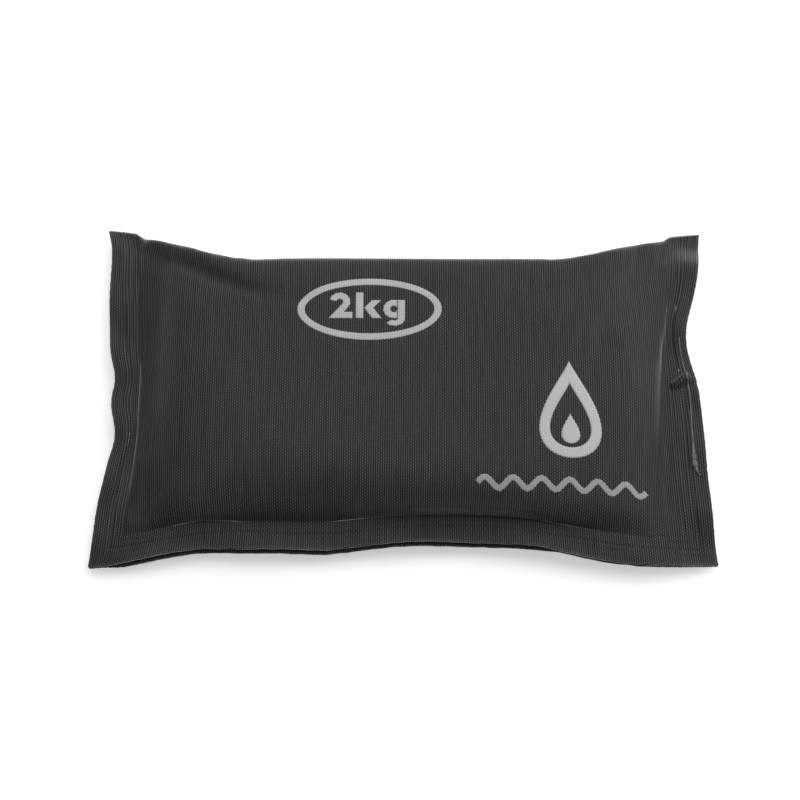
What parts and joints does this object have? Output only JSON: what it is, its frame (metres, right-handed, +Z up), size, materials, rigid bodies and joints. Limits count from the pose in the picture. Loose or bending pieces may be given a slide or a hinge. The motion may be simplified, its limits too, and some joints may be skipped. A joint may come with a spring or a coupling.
{
  "type": "soft dive weight pouch",
  "caption": "Soft dive weight: a folded sheet of coated woven nylon fused shut on its other sides around a bed of lead shot, with printed weight marks.",
  "frame": {"origin": "on the ground plane under the middle of the pouch's bounding box", "axes": "+X across the pouch to its right side, +Y from the front seal to the folded back edge, +Z up from the resting face"},
  "size_m": [0.2002, 0.1201, 0.0241],
  "materials": {
    "pouch_fabric": "matte woven nylon with a coated inside, slight sheen on the threads",
    "fused_coating": "smooth melted coating",
    "lead": "dull grey lead pellets, packed",
    "print_ink": "flat light grey screen print, with the weave showing through"
  },
  "bodies": {
    "root": {"cover": "pouch_fabric", "left_seal": "fused_coating", "right_seal": "fused_coating", "front_seal": "fused_coating", "seal_bead": "fused_coating", "lead_shot": "lead", "weight_ring": "print_ink", "weight_mark": "print_ink", "drop_mark": "print_ink", "wave_mark": "print_ink"}
  },
  "joints": []
}
